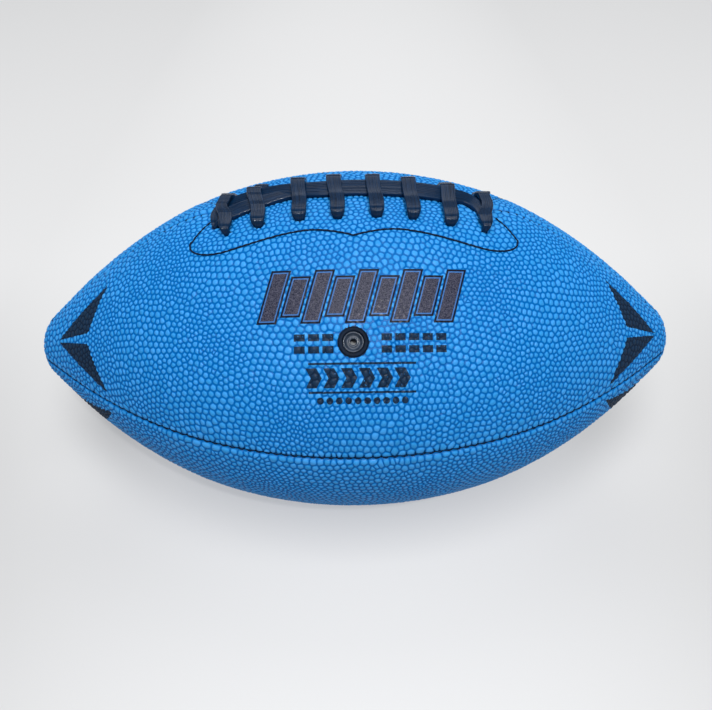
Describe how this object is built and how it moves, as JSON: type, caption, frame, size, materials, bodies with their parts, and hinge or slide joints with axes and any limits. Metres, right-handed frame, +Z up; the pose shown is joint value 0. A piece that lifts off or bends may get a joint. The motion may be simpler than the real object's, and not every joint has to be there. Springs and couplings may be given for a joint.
{
  "type": "american football",
  "caption": "Laced oval football with four pebbled cover panels, linings, a bladder with its inflation valve, and a raised lace over the top seam.",
  "frame": {"origin": "on the surface that the ball lies on, straight below its centre, with the laces up", "axes": "+X along the ball from tip to tip, +Z up through the laces, and the panel that carries the valve faces -Y and +Z"},
  "size_m": [0.2672, 0.148, 0.1491],
  "materials": {
    "cover": "satin pebbled composite leather, blue",
    "lining": "matte woven canvas",
    "bladder_rubber": "matte black rubber",
    "shield_felt": "matte felt",
    "facing_fabric": "matte coated fabric",
    "patch_rubber": "matte rubber",
    "valve_rubber": "matte black rubber",
    "valve_plug_rubber": "glossy black rubber",
    "lace": "satin ribbed vinyl, navy black",
    "thread": "waxed black thread"
  },
  "bodies": {
    "root": {"cover_front_top": "cover", "cover_back_top": "cover", "cover_front_bottom": "cover", "cover_back_bottom": "cover", "lining_front_top": "lining", "lining_back_top": "lining", "lining_front_bottom": "lining", "lining_back_bottom": "lining", "bladder": "bladder_rubber", "bladder_shield": "shield_felt", "lace_facing_front": "facing_fabric", "lace_facing_back": "facing_fabric", "valve_hole_facing": "facing_fabric", "valve_base": "patch_rubber", "valve_housing": "valve_rubber", "valve_plug": "valve_plug_rubber", "lace": "lace", "seam_thread_front": "thread", "seam_thread_bottom": "thread", "seam_thread_back": "thread", "seam_thread_top_left": "thread", "seam_thread_top_right": "thread", "facing_stitch_front": "thread", "facing_stitch_back": "thread"}
  },
  "joints": []
}
